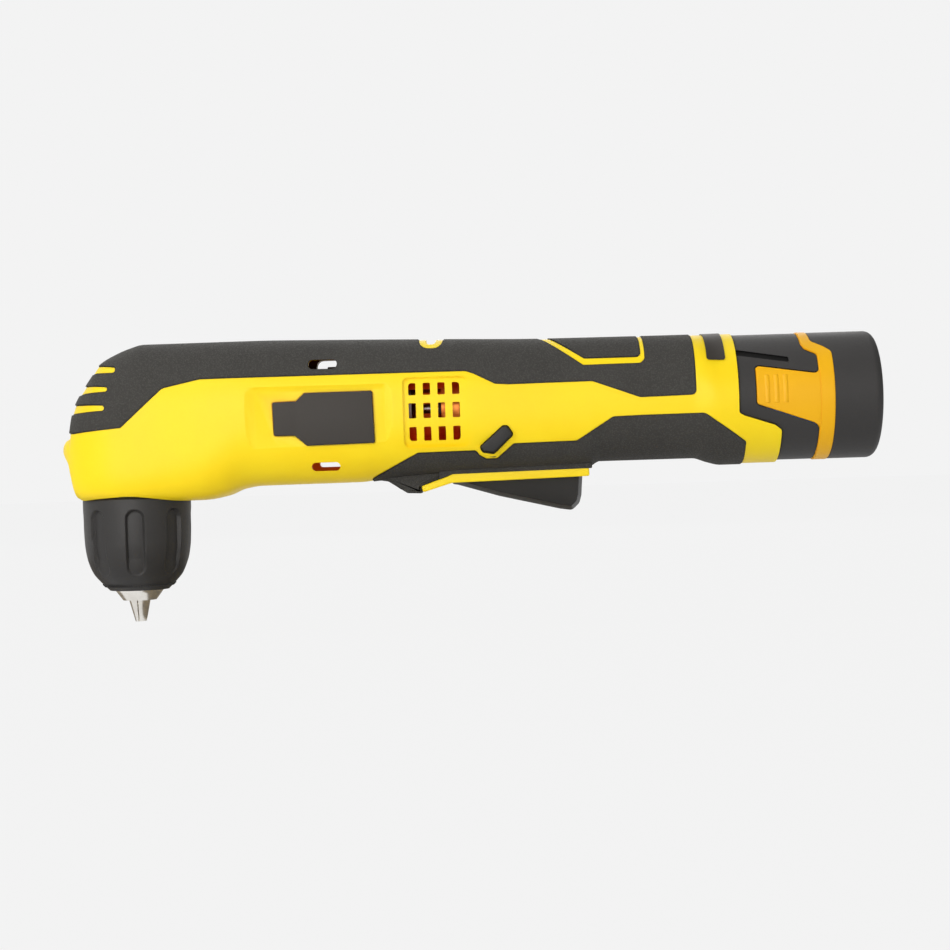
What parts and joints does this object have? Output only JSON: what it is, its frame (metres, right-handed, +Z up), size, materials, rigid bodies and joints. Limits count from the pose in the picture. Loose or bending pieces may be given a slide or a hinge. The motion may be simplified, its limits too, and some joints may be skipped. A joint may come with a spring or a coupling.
{
  "type": "right angle drill",
  "caption": "Battery right angle drill: in-line motor grip, lever trigger, bevel gear head with a keyless chuck pointing down, and a slide-in round pack.",
  "frame": {"origin": "tips of the closed chuck jaws, on the spindle axis", "axes": "+X along the tool from the chuck towards the battery end, +Z up the spindle axis from the jaws to the head, Y across the seam of the two housing halves"},
  "size_m": [0.2745, 0.046, 0.0936],
  "materials": {
    "yellow_plastic": "satin moulded",
    "soft_grip": "fine grained matt",
    "plate_black": "smooth matt",
    "screw_steel": "zinc plated",
    "gear_case": "die cast",
    "gear_steel": "machined",
    "bearing_steel": "ground",
    "motor_can": "zinc plated",
    "magnet": "sintered",
    "carbon": "pressed carbon",
    "core_iron": "laminated",
    "copper": "bare copper",
    "fan_plastic": "moulded",
    "black_plastic": "fine satin",
    "plunger_red": "moulded",
    "light": "clear epoxy",
    "lens": "clear",
    "clip_steel": "tin plated",
    "chuck_steel": "polished turned",
    "chuck_sleeve": "satin moulded",
    "orange_plastic": "satin moulded",
    "cell_wrap": "shrink wrap"
  },
  "bodies": {
    "housing": {"housing_left": "yellow_plastic", "housing_right": "yellow_plastic", "soft_grip_left": "soft_grip", "soft_grip_right": "soft_grip", "badge_plate": "plate_black", "label_plate": "plate_black", "housing_screws": "screw_steel", "gear_case": "gear_case", "gear_cover": "gear_case", "ring_gear": "gear_steel", "spindle_bearing_lower": "bearing_steel", "spindle_bearing_upper": "bearing_steel", "shaft_bearing_front": "bearing_steel", "shaft_bearing_rear": "bearing_steel", "motor_can": "motor_can", "motor_magnets": "magnet", "motor_end_cap": "black_plastic", "motor_brushes": "carbon", "trigger_pin": "screw_steel", "switch_body": "black_plastic", "work_light": "light", "work_light_lens": "lens", "terminal_block": "black_plastic", "terminal_clips": "clip_steel"},
    "spindle": {"spindle": "gear_steel", "bevel_wheel": "gear_steel", "chuck_body": "chuck_steel", "chuck_screw": "screw_steel"},
    "drive_shaft": {"bevel_pinion": "gear_steel", "planet_carrier": "gear_steel"},
    "planet_1": {"planet_gear_1": "gear_steel"},
    "planet_2": {"planet_gear_2": "gear_steel"},
    "planet_3": {"planet_gear_3": "gear_steel"},
    "armature": {"armature_core": "core_iron", "armature_windings": "copper", "commutator": "copper", "motor_shaft": "gear_steel", "motor_fan": "fan_plastic", "motor_pinion": "gear_steel"},
    "sleeve": {"chuck_sleeve": "chuck_sleeve", "chuck_nut": "chuck_steel"},
    "jaw_1": {"jaw_1": "chuck_steel"},
    "jaw_2": {"jaw_2": "chuck_steel"},
    "jaw_3": {"jaw_3": "chuck_steel"},
    "trigger": {"trigger": "black_plastic"},
    "plunger": {"switch_plunger": "plunger_red"},
    "selector": {"direction_selector": "black_plastic"},
    "battery": {"battery_case": "black_plastic", "battery_end_cap": "black_plastic", "battery_band": "orange_plastic", "battery_cells": "cell_wrap", "battery_contacts": "copper", "battery_screws": "screw_steel"},
    "latch_left": {"latch_left": "orange_plastic"},
    "latch_right": {"latch_right": "orange_plastic"}
  },
  "joints": [
    {"name": "chuck_spin", "type": "hinge", "parent": "housing", "child": "spindle", "pos_m": [0, 0, 0], "axis": [0, 0, 1], "continuous": true},
    {"name": "drive_shaft_spin", "type": "hinge", "parent": "housing", "child": "drive_shaft", "pos_m": [0.03, 0, 0.069], "axis": [1, 0, 0], "continuous": true},
    {"name": "motor_spin", "type": "hinge", "parent": "housing", "child": "armature", "pos_m": [0.08, 0, 0.069], "axis": [1, 0, 0], "continuous": true},
    {"name": "planet_1_spin", "type": "hinge", "parent": "drive_shaft", "child": "planet_1", "pos_m": [0.05, 0, 0.05955], "axis": [1, 0, 0], "continuous": true},
    {"name": "planet_2_spin", "type": "hinge", "parent": "drive_shaft", "child": "planet_2", "pos_m": [0.05, 0.00818, 0.07372], "axis": [1, 0, 0], "continuous": true},
    {"name": "planet_3_spin", "type": "hinge", "parent": "drive_shaft", "child": "planet_3", "pos_m": [0.05, -0.00818, 0.07372], "axis": [1, 0, 0], "continuous": true},
    {"name": "sleeve_turn", "type": "hinge", "parent": "spindle", "child": "sleeve", "pos_m": [0, 0, 0.025], "axis": [0, 0, -1], "range_deg": [0, 2478]},
    {"name": "jaw_1_slide", "type": "slide", "parent": "spindle", "child": "jaw_1", "axis": [0.217, -0.1559, 0.9636], "range_m": [0, 0.01721]},
    {"name": "jaw_2_slide", "type": "slide", "parent": "spindle", "child": "jaw_2", "axis": [0.0265, 0.2659, 0.9636], "range_m": [0, 0.01721]},
    {"name": "jaw_3_slide", "type": "slide", "parent": "spindle", "child": "jaw_3", "axis": [-0.2436, -0.11, 0.9636], "range_m": [0, 0.01721]},
    {"name": "trigger_press", "type": "hinge", "parent": "housing", "child": "trigger", "pos_m": [0.1115, 0, 0.0474], "axis": [0, -1, 0], "range_deg": [0, 9], "stiffness_Nm_per_rad": 0.4, "springref_deg": -17.19},
    {"name": "plunger_press", "type": "slide", "parent": "housing", "child": "plunger", "axis": [0, 0, 1], "range_m": [0, 0.0037]},
    {"name": "selector_slide", "type": "slide", "parent": "housing", "child": "selector", "axis": [0, 1, 0], "range_m": [-0.002, 0.002]},
    {"name": "battery_slide", "type": "slide", "parent": "housing", "child": "battery", "axis": [1, 0, 0], "range_m": [0, 0.055]},
    {"name": "latch_left_press", "type": "hinge", "parent": "battery", "child": "latch_left", "pos_m": [0.2289, -0.0205, 0.069], "axis": [0, 0, -1], "range_deg": [0, 3], "stiffness_Nm_per_rad": 2, "springref_deg": -2.86},
    {"name": "latch_right_press", "type": "hinge", "parent": "battery", "child": "latch_right", "pos_m": [0.2289, 0.0205, 0.069], "axis": [0, 0, 1], "range_deg": [0, 3], "stiffness_Nm_per_rad": 2, "springref_deg": -2.86}
  ],
  "couplings": [
    {"joint": "drive_shaft_spin", "follows": "chuck_spin", "ratio": 2},
    {"joint": "motor_spin", "follows": "chuck_spin", "ratio": 9},
    {"joint": "planet_1_spin", "follows": "chuck_spin", "ratio": -5.6},
    {"joint": "planet_2_spin", "follows": "chuck_spin", "ratio": -5.6},
    {"joint": "planet_3_spin", "follows": "chuck_spin", "ratio": -5.6},
    {"joint": "jaw_1_slide", "follows": "sleeve_turn", "m_per_rad": 0.00039789},
    {"joint": "jaw_2_slide", "follows": "sleeve_turn", "m_per_rad": 0.00039789},
    {"joint": "jaw_3_slide", "follows": "sleeve_turn", "m_per_rad": 0.00039789},
    {"joint": "plunger_press", "follows": "trigger_press", "m_per_rad": 0.0231}
  ]
}
